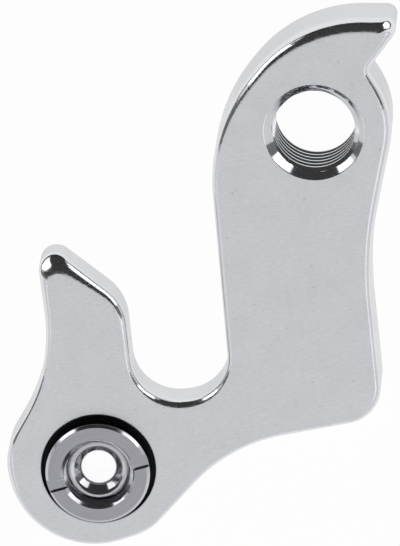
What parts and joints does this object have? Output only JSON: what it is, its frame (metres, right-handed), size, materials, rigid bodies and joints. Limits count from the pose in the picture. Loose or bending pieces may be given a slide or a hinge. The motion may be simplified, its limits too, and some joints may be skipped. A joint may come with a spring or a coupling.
{
  "type": "bicycle derailleur hanger",
  "caption": "S-shaped bicycle derailleur hanger plate with a threaded eye, a hooked stop, an axle slot and a fixing lobe clamped by a slotted sleeve nut and a hollow bolt.",
  "frame": {"origin": "on the axis of the threaded eye, in the inboard face that the part lies on", "axes": "+Z points outboard along the eye's axis, +Y runs up the axle slot to its open end, +X is to the right as seen from outboard"},
  "size_m": [0.0476, 0.058, 0.0083],
  "materials": {
    "plate": "satin tumbled faces with fine pits, and edges polished bright",
    "nut": "dark plated steel, finely turned",
    "bolt": "bright plated steel, finely turned"
  },
  "bodies": {
    "root": {"hanger_plate": "plate", "sleeve_nut": "nut", "fixing_bolt": "bolt"}
  },
  "joints": []
}
